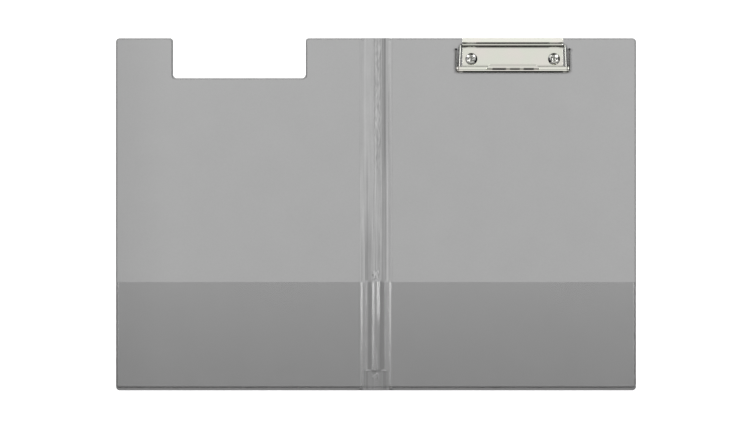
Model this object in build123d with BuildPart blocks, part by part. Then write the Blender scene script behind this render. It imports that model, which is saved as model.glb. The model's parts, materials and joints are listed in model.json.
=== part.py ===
from build123d import *

import os
from math import atan2, cos, hypot, sin, sqrt

# Clipboard folder, lying open and flat with its inside up.
# +X runs across from the notched front cover to the back board with the clip, +Y runs towards
# the clip edge and +Z up. The origin is the middle of the open folder, on the surface under it.

os.makedirs("parts", exist_ok=True)

# Covers: a grey board welded between two plastic films
folder_height = 320.0
cover_width = 230.75  # from the fold line to the outer edge
spine_width = 11.0  # between the two fold lines
film = 0.3
board_thickness = 2.0
board_fit = 0.1  # between the board's edge and the film around it
weld_side = 1.5  # from the outer or top edge to the board
weld_foot = 3.4  # from the bottom edge to the board
fold_to_board = 7.9
fold_gap = 0.35  # each film stops this far from the fold line
corner_radius = 3.5
board_corner_radius = 2.2
shoulder = 0.5  # the film's slope over the board's edge, across and down

# Clear pocket film across the foot of the whole folder
pocket_height = 98.5
pocket_film = 0.2
pocket_slack = 0.3  # room for paper under the film
pocket_fold_gap = 0.7

# Ridge that stands up along the middle of the spine
ridge_width = 7.4
ridge_height = 1.1
spine_weld = 18.0  # the films are welded flat at the spine's foot
ridge_top_weld = 1.5

# Clip base plate, one pressed strip
plate_side_gap = 5.65  # from the jaw's outside to the plate's side
plate_depth = 26.0  # from the top edge to the tip of its front lip
plate_floor_depth = 24.7  # from the top edge to the bend under the lip
plate_lip_rise = 1.2
sheet = 0.8
bead_setback = 6.2  # from the top edge to the axis of the rolled bead
bead_lift = 0.04
bead_neck = 1.5
bead_fillet = 0.5
plate_corner_radius = 1.0

# Sprung wire that turns in the bead
wire_diameter = 2.0
wire_run_clearance = 0.06
wire_bend = 2.0
wire_side_gap = 0.2  # from the plate's side to the start of the bend
wire_splay = 0.7  # the legs spread by this much towards the jaw
wire_hook = 15.0  # length of each end inside the jaw

# Jaw: a pressed bar with two ears and a finger tongue
jaw_width = 102.6
jaw_reach = 30.8  # from the top edge to the bar's front face
jaw_height = 3.9  # from the board to the top of the bar
jaw_lift = 0.6  # the bar's edge stands over the board
jaw_rim_radius = 0.5
jaw_flange = 4.3
jaw_corner_radius = 2.4
ear_setback = 10.3  # from the top edge to the middle of the ear's curled end
ear_drop = 1.0  # the ear is this much lower at its rear end
ear_curl_radius = 0.95
tongue_width = 49.0
tongue_side_angle = 55.0
tongue_run = 3.2
tongue_rise = 2.8
tongue_radius = 1.8
barrel_length = 8.0
barrel_inset = 5.8  # from the wire's bend to the barrel's outer end
barrel_wall = 0.65
barrel_clearance = 0.05

# Paper guards on the bar's lower edge
guard_width = 3.0
guard_inset = 8.7  # from the jaw's outside to the guard's middle
guard_wall = 0.5
guard_height = 2.0
guard_fit = 0.03
guard_radius = 0.3

# Hollow rivets with domed heads
rivet_inset = 8.15  # from the plate's side to the rivet's middle
rivet_setback = 19.1
rivet_bore_radius = 2.15
rivet_shank_radius = 2.65
rivet_hole_clearance = 0.05
rivet_dome_radius = 5.45
rivet_dome_height = 2.2  # of the whole dome, with the bore filled
rivet_dome_bands = 3  # the dome is turned in this many slopes
rivet_lip_width = 0.6  # the rounded edge that runs down into the bore
rivet_lip_drop = 0.4
rivet_flange_radius = 4.2
rivet_flange = 0.6
rivet_flange_fit = 0.2
rivet_recess = 0.1  # the rear flange lies this far above the outer face

# Notch in the front cover, which clears the clip when the folder is closed
notch_side_gap = 8.95
notch_front_gap = 5.5
notch_mouth_radius = 2.7
notch_corner_radius = 3.6

# Heights and places worked out from the sizes above
BACK = 1
FRONT = -1
top_edge = folder_height / 2
foot_edge = -folder_height / 2
fold_x = spine_width / 2
outer_x = fold_x + cover_width
board_top_z = film + board_thickness
face_z = board_top_z + film
flange_top_z = 2 * film
wrap = film + board_fit  # from the board's edge out to the film's outer side
pocket_top_y = foot_edge + pocket_height
board_centre = (fold_x + fold_to_board + outer_x - weld_side) / 2

clip_x = board_centre
plate_width = jaw_width - 2 * plate_side_gap
hinge_y = top_edge - bead_setback
wire_radius = wire_diameter / 2
bead_bore = wire_radius + wire_run_clearance
bead_outer = bead_bore + sheet
hinge_z = face_z + bead_lift + bead_outer
plate_top_z = face_z + sheet
plate_tip_y = top_edge - plate_depth
plate_bend_y = top_edge - plate_floor_depth
rivet_y = top_edge - rivet_setback
rivet_hole = rivet_shank_radius + rivet_hole_clearance
rivet_offset = plate_width / 2 - rivet_inset
rivet_places = {"left": clip_x - rivet_offset, "right": clip_x + rivet_offset}
dimple_radius = rivet_flange_radius + rivet_flange_fit
dimple_z = rivet_recess + rivet_flange

jaw_front_y = top_edge - jaw_reach
jaw_low_z = face_z + jaw_lift
jaw_top_z = face_z + jaw_height
barrel_bore = wire_radius + barrel_clearance
barrel_radius = barrel_bore + barrel_wall
hook_y = jaw_front_y + sheet + barrel_radius
guard_offset = jaw_width / 2 - guard_inset
guard_places = {"left": clip_x - guard_offset, "right": clip_x + guard_offset}

notch_width = jaw_width + 2 * notch_side_gap
notch_depth = jaw_reach + notch_front_gap


def finish(piece, name):
    piece.part.label = name
    export_step(piece.part, f"parts/{name}.step")


def cover_plan(side, edge, foot, fold, corner, notched=False):
    """Plan of one layer of a cover, drawn in by edge, foot and fold from the whole cover."""
    inner = fold_x + fold
    outer = outer_x - edge
    low = foot_edge + foot
    high = top_edge - edge
    with BuildSketch(mode=Mode.PRIVATE) as plan:
        with Locations((side * (inner + outer) / 2, (low + high) / 2)):
            Rectangle(outer - inner, high - low)
        fillet(plan.vertices().group_by(Axis.X)[-1 if side == BACK else 0], corner)
        if notched:
            with Locations((side * board_centre, top_edge)):
                RectangleRounded(
                    notch_width + 2 * edge,
                    2 * (notch_depth + edge),
                    notch_corner_radius,
                    mode=Mode.SUBTRACT,
                )
            mouth = plan.vertices().group_by(Axis.Y)[-1].sort_by(Axis.X)[-3:-1]
            fillet(mouth, notch_mouth_radius)
    return plan.sketch


def board_plan(side, margin, notched=False):
    """Plan of a cover's board, grown by margin."""
    return cover_plan(
        side,
        weld_side - margin,
        weld_foot - margin,
        fold_to_board - margin,
        board_corner_radius + margin,
        notched,
    )


def sloped_block(side, margin, low_z, high_z, notched=False):
    """Solid over a cover's board, grown by margin, with the film's slope along its top edge."""
    slope = shoulder + (margin - wrap) * (2 - sqrt(2))
    with BuildPart(mode=Mode.PRIVATE) as block:
        with BuildSketch(Plane.XY.offset(low_z)):
            add(board_plan(side, margin, notched))
        extrude(amount=high_z - low_z)
        chamfer(block.faces().sort_by(Axis.Z)[-1].edges(), slope)
    return block.part


def rivet_locations():
    return Locations(*[(x, rivet_y) for x in rivet_places.values()])


def core_board(side, name, notched, riveted):
    """Grey board that stiffens a cover, with a bore and a shallow seat for each rivet."""
    with BuildPart() as board:
        with BuildSketch(Plane.XY.offset(film)):
            add(board_plan(side, 0, notched))
        extrude(amount=board_thickness)
        if riveted:
            with BuildSketch(Plane.XY.offset(film)):
                with rivet_locations():
                    Circle(rivet_hole)
            extrude(amount=board_thickness, mode=Mode.SUBTRACT)
            with BuildSketch(Plane.XY.offset(film)):
                with rivet_locations():
                    Circle(dimple_radius + film)
            extrude(amount=dimple_z, mode=Mode.SUBTRACT)
    finish(board, name)


def outer_film(side, name, notched, riveted):
    """Outside film of a cover, flat outside, pressed up into a dimple round each rivet flange."""
    with BuildPart() as skin:
        with BuildSketch():
            add(cover_plan(side, 0, 0, fold_gap, corner_radius, notched))
        extrude(amount=film)
        if riveted:
            with BuildSketch():
                with rivet_locations():
                    Circle(dimple_radius + film)
            extrude(amount=dimple_z + film)
            with BuildSketch():
                with rivet_locations():
                    Circle(dimple_radius)
            extrude(amount=dimple_z, mode=Mode.SUBTRACT)
            with BuildSketch():
                with rivet_locations():
                    Circle(rivet_hole)
            extrude(amount=dimple_z + film, mode=Mode.SUBTRACT)
    finish(skin, name)


def inner_film(side, name, notched, riveted):
    """Inside film of a cover: it wraps over the board and meets the outer film in a weld."""
    wrapped = sloped_block(side, wrap, film, face_z, notched)
    with BuildPart() as skin:
        add(wrapped)
        with BuildSketch(Plane.XY.offset(film)):
            add(cover_plan(side, 0, 0, fold_gap, corner_radius, notched))
        extrude(amount=film)
        with BuildSketch(Plane.XY.offset(film)):
            add(board_plan(side, board_fit, notched))
        extrude(amount=board_thickness, mode=Mode.SUBTRACT)
        if riveted:
            with BuildSketch(Plane.XY.offset(face_z)):
                with rivet_locations():
                    Circle(rivet_hole)
            extrude(amount=-film, mode=Mode.SUBTRACT)
    finish(skin, name)


def pocket_sheet(side, name):
    """Clear film over the foot of a cover, welded on three sides and open towards the clip."""
    room = wrap + pocket_slack
    shell = sloped_block(side, room + pocket_film, flange_top_z, face_z + pocket_slack + pocket_film)
    hollow = sloped_block(side, room, flange_top_z, face_z + pocket_slack)
    with BuildPart() as pocket:
        add(shell)
        with BuildSketch(Plane.XY.offset(flange_top_z)):
            add(cover_plan(side, 0, 0, pocket_fold_gap, corner_radius))
        extrude(amount=pocket_film)
        add(hollow, mode=Mode.SUBTRACT)
        split(bisect_by=Plane.XZ.offset(-pocket_top_y), keep=Keep.TOP)
    finish(pocket, name)


core_board(BACK, "back_core_board", notched=False, riveted=True)
outer_film(BACK, "back_outer_film", notched=False, riveted=True)
inner_film(BACK, "back_inner_film", notched=False, riveted=True)
pocket_sheet(BACK, "back_pocket_film")

core_board(FRONT, "front_core_board", notched=True, riveted=False)
outer_film(FRONT, "front_outer_film", notched=True, riveted=False)
inner_film(FRONT, "front_inner_film", notched=True, riveted=False)
pocket_sheet(FRONT, "front_pocket_film")


# Spine: flat outside film, inside film with a ridge, and the pocket film over the ridge
ridge_radius = (ridge_width**2 / 4 + ridge_height**2) / (2 * ridge_height)
ridge_centre_z = flange_top_z + ridge_height - ridge_radius
ridge_low_y = foot_edge + spine_weld
ridge_high_y = top_edge - ridge_top_weld


def ridge_bar(growth, low_y, high_y):
    """Bar along the spine that stands on the outer film, its round top grown by growth."""
    with BuildPart(mode=Mode.PRIVATE) as bar:
        with BuildSketch(Plane.XZ.offset(-low_y)):
            with Locations((0, ridge_centre_z)):
                Circle(ridge_radius + growth)
            with Locations((0, film)):
                Rectangle(
                    spine_width,
                    ridge_height + ridge_radius,
                    align=(Align.CENTER, Align.MIN),
                    mode=Mode.INTERSECT,
                )
        extrude(amount=low_y - high_y)
    return bar.part


with BuildPart() as spine_outer:
    with BuildSketch():
        Rectangle(spine_width - 2 * fold_gap, folder_height)
    extrude(amount=film)
finish(spine_outer, "spine_outer_film")

ridge_solid = ridge_bar(0, ridge_low_y, ridge_high_y)
ridge_void = ridge_bar(-film, ridge_low_y + film, ridge_high_y - film)
with BuildPart() as spine_inner:
    with BuildSketch(Plane.XY.offset(film)):
        Rectangle(spine_width - 2 * fold_gap, folder_height)
    extrude(amount=film)
    add(ridge_solid)
    add(ridge_void, mode=Mode.SUBTRACT)
finish(spine_inner, "spine_inner_film")

pocket_rise = pocket_slack + pocket_film
pocket_ridge = ridge_bar(pocket_rise, ridge_low_y - pocket_rise, pocket_top_y)
pocket_room = ridge_bar(pocket_slack, ridge_low_y - pocket_slack, pocket_top_y)
with BuildPart() as spine_pocket:
    with BuildSketch(Plane.XY.offset(flange_top_z)):
        with Locations((0, foot_edge)):
            Rectangle(
                spine_width - 2 * pocket_fold_gap, pocket_height, align=(Align.CENTER, Align.MIN)
            )
    extrude(amount=pocket_film)
    add(pocket_ridge)
    split(bisect_by=Plane.XY.offset(flange_top_z), keep=Keep.TOP)
    add(pocket_room, mode=Mode.SUBTRACT)
finish(spine_pocket, "spine_pocket_film")


# Base plate of the clip: rear flange, rolled bead for the wire, flat floor and front lip
with BuildPart() as base_plate:
    with BuildSketch(Plane.YZ.offset(clip_x)) as plate_section:
        with Locations((plate_bend_y, face_z)):
            Rectangle(top_edge - plate_bend_y, sheet, align=Align.MIN)
        with Locations((hinge_y, face_z)):
            Rectangle(2 * bead_outer, hinge_z - face_z, align=(Align.CENTER, Align.MIN))
        roots = plate_section.vertices().group_by(Axis.Y)[1].sort_by(Axis.X)[1:3]
        fillet(roots, bead_fillet)
        with Locations((hinge_y, hinge_z)):
            Circle(bead_outer)
            Circle(bead_bore, mode=Mode.SUBTRACT)
        with Locations((hinge_y, face_z)):
            Rectangle(
                bead_neck, hinge_z - face_z, align=(Align.CENTER, Align.MIN), mode=Mode.SUBTRACT
            )
        with BuildLine():
            Polyline(
                (plate_bend_y, face_z),
                (plate_bend_y, plate_top_z),
                (plate_tip_y, plate_top_z + plate_lip_rise),
                (plate_tip_y, plate_top_z + plate_lip_rise - sheet),
                close=True,
            )
        make_face()
    extrude(amount=plate_width / 2, both=True)
    rear_corners = base_plate.edges().filter_by(Axis.Z).group_by(Axis.Y)[-1]
    fillet(rear_corners, plate_corner_radius)
    with BuildSketch(Plane.XY.offset(face_z)):
        with rivet_locations():
            Circle(rivet_hole)
    extrude(amount=sheet, mode=Mode.SUBTRACT)
finish(base_plate, "clip_base_plate")


# Hollow rivet near each end of the plate: domed head, shank and rear flange in one turned shape
ball_radius = (rivet_dome_radius**2 + rivet_dome_height**2) / (2 * rivet_dome_height)
ball_z = plate_top_z + rivet_dome_height - ball_radius
lip_radius = rivet_bore_radius + rivet_lip_width
dome_step = (rivet_dome_radius - lip_radius) / rivet_dome_bands
dome_radii = [lip_radius + band * dome_step for band in range(rivet_dome_bands + 1)]
dome_profile = [(radius, ball_z + sqrt(ball_radius**2 - radius**2)) for radius in dome_radii]
lip_z = dome_profile[0][1] - rivet_lip_drop

for place, rivet_x in rivet_places.items():
    with BuildPart() as rivet:
        with BuildSketch(Plane.XZ.offset(-rivet_y).shift_origin((rivet_x, rivet_y, 0))):
            with BuildLine():
                Polyline(
                    (rivet_bore_radius, rivet_recess),
                    (rivet_bore_radius, lip_z),
                    *dome_profile,
                    (rivet_shank_radius, plate_top_z),
                    (rivet_shank_radius, dimple_z),
                    (rivet_flange_radius, dimple_z),
                    (rivet_flange_radius, rivet_recess),
                    close=True,
                )
            make_face()
        revolve(axis=Axis((rivet_x, rivet_y, 0), (0, 0, 1)))
    finish(rivet, f"clip_rivet_{place}")


# Sprung wire: a bar that turns in the bead, two legs and two ends hooked into the jaw
leg_x = plate_width / 2 + wire_side_gap + wire_bend
corner_x = leg_x + wire_splay
hook_x = corner_x - wire_bend - wire_hook
with BuildPart() as wire:
    with BuildLine(Plane((clip_x, 0, hinge_z))) as run:
        FilletPolyline(
            (-hook_x, hook_y),
            (-corner_x, hook_y),
            (-leg_x, hinge_y),
            (leg_x, hinge_y),
            (corner_x, hook_y),
            (hook_x, hook_y),
            radius=wire_bend,
        )
    with BuildSketch(Plane(origin=run.line @ 0, z_dir=run.line % 0)):
        Circle(wire_radius)
    sweep()
finish(wire, "clip_spring_wire")


# Jaw: the bar and its ears are one strip bent round the front, with a flange, two barrels for
# the wire's ends and a tongue for the finger
jaw_wall_x = (jaw_width - sheet) / 2
wall_y = jaw_front_y + sheet / 2
ear_y = top_edge - ear_setback
ear_top_z = jaw_top_z - ear_drop
flange_y = jaw_front_y + jaw_flange
barrel_x = corner_x - wire_bend - barrel_inset - barrel_length / 2
tongue_angle = atan2(tongue_rise, tongue_run)
tongue_base_y = flange_y - sheet * sin(tongue_angle)
with BuildPart() as jaw:
    with BuildSketch(Plane((clip_x, 0, jaw_low_z))):
        with BuildLine():
            FilletPolyline(
                (-jaw_wall_x, ear_y),
                (-jaw_wall_x, wall_y),
                (jaw_wall_x, wall_y),
                (jaw_wall_x, ear_y),
                radius=jaw_corner_radius - sheet / 2,
            )
        trace(line_width=sheet)
    extrude(amount=jaw_top_z - jaw_low_z)
    with BuildSketch(Plane((clip_x, 0, jaw_top_z))) as top:
        with Locations((0, jaw_front_y)):
            Rectangle(jaw_width, jaw_flange, align=(Align.CENTER, Align.MIN))
        fillet(top.vertices().group_by(Axis.Y)[0], jaw_corner_radius)
    extrude(amount=-sheet)
    front_face = jaw.faces().filter_by(Axis.Y).sort_by(Axis.Y)[0]
    side_faces = jaw.faces().filter_by(Axis.X).sort_by(Axis.X)
    outside = (front_face, side_faces[0], side_faces[-1])
    fillet([face.edges().sort_by(Axis.Z)[-1] for face in outside], jaw_rim_radius)
    with BuildSketch(Plane.YZ.offset(clip_x)):
        with BuildLine():
            Polyline(
                (flange_y, jaw_top_z),
                (ear_y, ear_top_z),
                (top_edge, ear_top_z),
                (top_edge, jaw_top_z),
                close=True,
            )
        make_face()
    extrude(amount=jaw_width, both=True, mode=Mode.SUBTRACT)
    with Locations(*[(clip_x + side * jaw_wall_x, ear_y, jaw_low_z) for side in (BACK, FRONT)]):
        Cylinder(
            ear_curl_radius,
            ear_top_z - jaw_low_z,
            align=(Align.CENTER, Align.CENTER, Align.MIN),
        )
    for side in (BACK, FRONT):
        with Locations(Location((clip_x + side * barrel_x, hook_y, hinge_z), (0, 90, 0))):
            Cylinder(barrel_radius, barrel_length)
            Cylinder(barrel_bore, barrel_length, mode=Mode.SUBTRACT)
    tongue_plane = Plane(
        origin=(clip_x, tongue_base_y, jaw_top_z - sheet),
        x_dir=(1, 0, 0),
        z_dir=(0, -sin(tongue_angle), cos(tongue_angle)),
    )
    with BuildSketch(tongue_plane) as tongue:
        Trapezoid(
            tongue_width,
            hypot(tongue_rise, tongue_run),
            tongue_side_angle,
            align=(Align.CENTER, Align.MIN),
        )
        fillet(tongue.vertices().group_by(Axis.Y)[-1], tongue_radius)
    extrude(amount=sheet)
finish(jaw, "clip_jaw")


# Paper guards: small plastic shoes pushed on to the lower edge of the bar
guard_low_z = jaw_low_z - guard_fit - guard_wall
for place, guard_x in guard_places.items():
    with BuildPart() as guard:
        with BuildSketch(Plane.YZ.offset(guard_x)) as shoe:
            with Locations((jaw_front_y + sheet / 2, guard_low_z)):
                Rectangle(
                    sheet + 2 * (guard_fit + guard_wall),
                    guard_height,
                    align=(Align.CENTER, Align.MIN),
                )
            fillet(shoe.vertices().group_by(Axis.Y)[0], guard_radius)
            with Locations((jaw_front_y + sheet / 2, guard_low_z + guard_wall)):
                Rectangle(
                    sheet + 2 * guard_fit,
                    guard_height,
                    align=(Align.CENTER, Align.MIN),
                    mode=Mode.SUBTRACT,
                )
        extrude(amount=guard_width / 2, both=True)
    finish(guard, f"paper_guard_{place}")
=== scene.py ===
import json
from math import atan2, cos, hypot, pi, radians, sin, tan

import bmesh
import bpy
from mathutils import Matrix, Vector, noise


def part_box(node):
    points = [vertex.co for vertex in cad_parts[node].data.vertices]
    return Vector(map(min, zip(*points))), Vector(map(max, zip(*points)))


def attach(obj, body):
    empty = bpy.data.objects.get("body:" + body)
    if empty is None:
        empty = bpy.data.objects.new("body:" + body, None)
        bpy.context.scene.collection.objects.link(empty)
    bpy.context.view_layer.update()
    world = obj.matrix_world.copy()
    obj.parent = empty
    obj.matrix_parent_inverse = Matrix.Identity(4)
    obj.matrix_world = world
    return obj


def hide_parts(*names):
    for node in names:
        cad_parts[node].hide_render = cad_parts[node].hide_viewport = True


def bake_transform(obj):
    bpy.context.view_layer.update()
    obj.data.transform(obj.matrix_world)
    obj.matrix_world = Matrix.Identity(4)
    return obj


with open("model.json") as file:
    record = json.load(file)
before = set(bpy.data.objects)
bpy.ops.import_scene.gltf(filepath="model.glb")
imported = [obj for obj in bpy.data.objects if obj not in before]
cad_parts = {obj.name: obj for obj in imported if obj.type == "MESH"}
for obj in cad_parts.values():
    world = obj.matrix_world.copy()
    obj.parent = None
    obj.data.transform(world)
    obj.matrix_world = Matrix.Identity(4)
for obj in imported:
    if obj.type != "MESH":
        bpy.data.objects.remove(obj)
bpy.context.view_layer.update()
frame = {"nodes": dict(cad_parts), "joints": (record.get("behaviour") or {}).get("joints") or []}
nodes = frame["nodes"]


# Studio: the open folder lies on a white table, photographed from straight above. A long soft
# box stands on each side of it, both set towards the clip, so that their mirror image fades out
# near the folder's foot. The room is dark apart from a pale ceiling, which bright metal mirrors.
mm = 0.001
view_height = 3.0
frame_width = 0.68085  # what the picture takes in from side to side at the height of the covers
aim = Vector((-0.9 * mm, 3.4 * mm, 2.6 * mm))
photo_camera = bpy.data.cameras.new("photo_camera")
photo_camera.sensor_width = 36
photo_camera.lens = photo_camera.sensor_width * view_height / frame_width
photo_camera.clip_end = 20
camera = bpy.data.objects.new("photo_camera", photo_camera)
camera.location = aim + Vector((0, 0, view_height))
bpy.context.scene.collection.objects.link(camera)
bpy.context.scene.camera = camera
bpy.context.scene.view_settings.view_transform = "Standard"


def new_material(name):
    """An empty material with its nodes, its links and its surface shader."""
    made = bpy.data.materials.new(name)
    made.use_nodes = True
    tree = made.node_tree
    return made, tree.nodes, tree.links, tree.nodes["Principled BSDF"]


def new_object(mesh, name, material):
    """An object made from a bmesh, with its faces smooth."""
    data = bpy.data.meshes.new(name)
    for face in mesh.faces:
        face.smooth = True
    mesh.to_mesh(data)
    mesh.free()
    data.materials.append(material)
    made = bpy.data.objects.new(name, data)
    bpy.context.scene.collection.objects.link(made)
    return made


white_table, shapes, wires, surface = new_material("white_table")
surface.inputs["Base Color"].default_value = (0.86, 0.86, 0.86, 1)
surface.inputs["Roughness"].default_value = 0.8
surface.inputs["Emission Color"].default_value = (1, 1, 1, 1)
surface.inputs["Emission Strength"].default_value = 0.45
table_mesh = bmesh.new()
bmesh.ops.create_grid(table_mesh, x_segments=1, y_segments=1, size=4)
bmesh.ops.translate(table_mesh, verts=table_mesh.verts, vec=(0, 0, -0.2 * mm))
new_object(table_mesh, "table", white_table)

studio = bpy.data.worlds.new("studio")
bpy.context.scene.world = studio
studio.use_nodes = True
shapes, wires = studio.node_tree.nodes, studio.node_tree.links
room_direction = shapes.new("ShaderNodeTexCoord")
room_place = shapes.new("ShaderNodeSeparateXYZ")
wires.new(room_direction.outputs["Generated"], room_place.inputs[0])


def room_ramp(source, stops):
    """Grey tones of the room along one direction, from pairs of a place and a grey."""
    ramp = shapes.new("ShaderNodeValToRGB")
    wires.new(source, ramp.inputs[0])
    tones = ramp.color_ramp.elements
    tones[0].position, tones[0].color = stops[0][0], (stops[0][1],) * 3 + (1,)
    tones[1].position, tones[1].color = stops[-1][0], (stops[-1][1],) * 3 + (1,)
    for height, grey in stops[1:-1]:
        tones.new(height).color = (grey, grey, grey, 1)
    return ramp.outputs["Color"]


to_side = shapes.new("ShaderNodeMath")
to_side.operation = "ABSOLUTE"
wires.new(room_place.outputs["X"], to_side.inputs[0])
sideways = shapes.new("ShaderNodeMapRange")
sideways.interpolation_type = "SMOOTHSTEP"
sideways.inputs["From Min"].default_value = 0.12
sideways.inputs["From Max"].default_value = 0.42
wires.new(to_side.outputs[0], sideways.inputs["Value"])
ceiling = ((0.93, 0.8), (1, 0.86))
side_walls = ((0, 0.25), (0.2, 0.1), (0.6, 0.12), (0.84, 0.3))
end_walls = ((0, 0.2), (0.15, 0.04), (0.8, 0.05))
pale_sides = room_ramp(room_place.outputs["Z"], side_walls + ceiling)
dark_ends = room_ramp(room_place.outputs["Z"], end_walls + ceiling)
room_mix = shapes.new("ShaderNodeMix")
room_mix.data_type = "RGBA"
wires.new(sideways.outputs["Result"], room_mix.inputs["Factor"])
wires.new(dark_ends, room_mix.inputs["A"])
wires.new(pale_sides, room_mix.inputs["B"])
wires.new(room_mix.outputs["Result"], shapes["Background"].inputs["Color"])

box_length = 1.73
box_width = 0.9
box_power = 39
box_reach = 1.25  # out to the side from the folder's middle
box_lead = 0.705  # from the folder's middle towards the clip
box_height = 2.1
for side, sign in (("left", -1), ("right", 1)):
    light = bpy.data.lights.new(f"soft_box_{side}", "AREA")
    light.shape = "RECTANGLE"
    light.size = box_length
    light.size_y = box_width
    light.energy = box_power
    soft_box = bpy.data.objects.new(f"soft_box_{side}", light)
    soft_box.location = (sign * box_reach, box_lead, box_height)
    soft_box.rotation_mode = "QUATERNION"
    inward = Vector((-sign * box_reach, 0, -box_height))
    soft_box.rotation_quaternion = inward.to_track_quat("-Z", "Y")
    bpy.context.scene.collection.objects.link(soft_box)


# Cover films: matt grey vinyl on the outside and the inside of both covers, welded together
# along every edge. It is calendered, so it has a fine even grain, and it mottles a little in
# handling.
vinyl_grey = 0.30
grain_size = 0.45 * mm
grain_depth = 0.03 * mm
weld_shade_tone = 0.82  # painted shade: the films are painted this much darker from the welded edge up the slope to the board
weld_shade_heights = ((0.35, 0.45, weld_shade_tone), (2.2, 2.5, 1 / weld_shade_tone))  # in mm, and the tone above
shaded_edge = (-240 * mm, -185 * mm)  # painted shade: the front cover darkens a little towards its outer edge
edge_shade = 0.9


def film_grain(shapes, wires, surface, source, size=grain_size, depth=grain_depth):
    """Fine pressed grain as a bump, over a coordinate output."""
    grain = shapes.new("ShaderNodeTexNoise")
    grain.inputs["Scale"].default_value = 1 / size
    grain.inputs["Detail"].default_value = 3
    wires.new(source, grain.inputs["Vector"])
    bump = shapes.new("ShaderNodeBump")
    bump.inputs["Strength"].default_value = 0.35
    bump.inputs["Distance"].default_value = depth
    wires.new(grain.outputs["Fac"], bump.inputs["Height"])
    wires.new(bump.outputs["Normal"], surface.inputs["Normal"])


def mottled(shapes, wires, source, patch_size, low, high, detail=4):
    """A grey that wanders between two values over patches of a given size."""
    patches = shapes.new("ShaderNodeTexNoise")
    patches.inputs["Scale"].default_value = 1 / patch_size
    patches.inputs["Detail"].default_value = detail
    wires.new(source, patches.inputs["Vector"])
    spread = shapes.new("ShaderNodeMapRange")
    spread.inputs["From Min"].default_value = 0.3
    spread.inputs["From Max"].default_value = 0.7
    spread.inputs["To Min"].default_value = low
    spread.inputs["To Max"].default_value = high
    wires.new(patches.outputs["Fac"], spread.inputs["Value"])
    return spread.outputs["Result"]


def multiply(shapes, wires, first, second):
    """The product of two outputs."""
    product = shapes.new("ShaderNodeMath")
    product.operation = "MULTIPLY"
    wires.new(first, product.inputs[0])
    wires.new(second, product.inputs[1])
    return product.outputs[0]


def grey_colour(shapes, wires, value):
    """A neutral colour from one value."""
    joined = shapes.new("ShaderNodeCombineColor")
    for channel in ("Red", "Green", "Blue"):
        wires.new(value, joined.inputs[channel])
    return joined.outputs["Color"]


def vinyl(name, grey):
    """Matt grey vinyl on object coordinates."""
    made, shapes, wires, surface = new_material(name)
    place = shapes.new("ShaderNodeTexCoord").outputs["Object"]
    film_grain(shapes, wires, surface, place)
    broad = mottled(shapes, wires, place, 38 * mm, grey * 0.985, grey * 1.015)
    fine = mottled(shapes, wires, place, 1.6 * mm, 0.985, 1.015)
    across = shapes.new("ShaderNodeSeparateXYZ")
    wires.new(place, across.inputs[0])
    # Painted shade: the vinyl is darker towards the front cover's outer edge.
    edge_shaded = shapes.new("ShaderNodeMapRange")
    edge_shaded.interpolation_type = "SMOOTHSTEP"
    edge_shaded.inputs["From Min"].default_value = shaded_edge[0]
    edge_shaded.inputs["From Max"].default_value = shaded_edge[1]
    edge_shaded.inputs["To Min"].default_value = edge_shade
    wires.new(across.outputs["X"], edge_shaded.inputs["Value"])
    tone = multiply(shapes, wires, multiply(shapes, wires, broad, fine), edge_shaded.outputs["Result"])
    # Painted shade: darker from the welded edges up their slopes, and back to full tone on the boards.
    for bottom, top, above in weld_shade_heights:
        welded = shapes.new("ShaderNodeMapRange")
        welded.inputs["From Min"].default_value = bottom * mm
        welded.inputs["From Max"].default_value = top * mm
        welded.inputs["To Min"].default_value = 1
        welded.inputs["To Max"].default_value = above
        wires.new(across.outputs["Z"], welded.inputs["Value"])
        tone = multiply(shapes, wires, tone, welded.outputs["Result"])
    wires.new(grey_colour(shapes, wires, tone), surface.inputs["Base Color"])
    wires.new(mottled(shapes, wires, place, 6 * mm, 0.42, 0.5), surface.inputs["Roughness"])
    surface.inputs["Specular IOR Level"].default_value = 0.42
    return made


grey_vinyl = vinyl("grey_vinyl", vinyl_grey)
for cover in ("back", "front"):
    for side in ("outer", "inner"):
        nodes[f"{cover}_{side}_film"].data.materials.clear()
        nodes[f"{cover}_{side}_film"].data.materials.append(grey_vinyl)


# Core boards: unlined grey board of recycled fibre, cut to the cover's shape. It is closed in
# between the films, which are welded round it.
grey_board, shapes, wires, surface = new_material("grey_board")
place = shapes.new("ShaderNodeTexCoord").outputs["Object"]
fibres = shapes.new("ShaderNodeTexNoise")
fibres.inputs["Scale"].default_value = 1 / (1.2 * mm)
fibres.inputs["Detail"].default_value = 6
wires.new(place, fibres.inputs["Vector"])
fibre_tones = shapes.new("ShaderNodeValToRGB")
fibre_tones.color_ramp.elements[0].color = (0.34, 0.32, 0.29, 1)
fibre_tones.color_ramp.elements[1].color = (0.52, 0.5, 0.46, 1)
wires.new(fibres.outputs["Fac"], fibre_tones.inputs["Fac"])
wires.new(fibre_tones.outputs["Color"], surface.inputs["Base Color"])
surface.inputs["Roughness"].default_value = 0.9
film_grain(shapes, wires, surface, place, 0.6 * mm, 0.06 * mm)
for cover in ("back", "front"):
    nodes[f"{cover}_core_board"].data.materials.clear()
    nodes[f"{cover}_core_board"].data.materials.append(grey_board)


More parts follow.
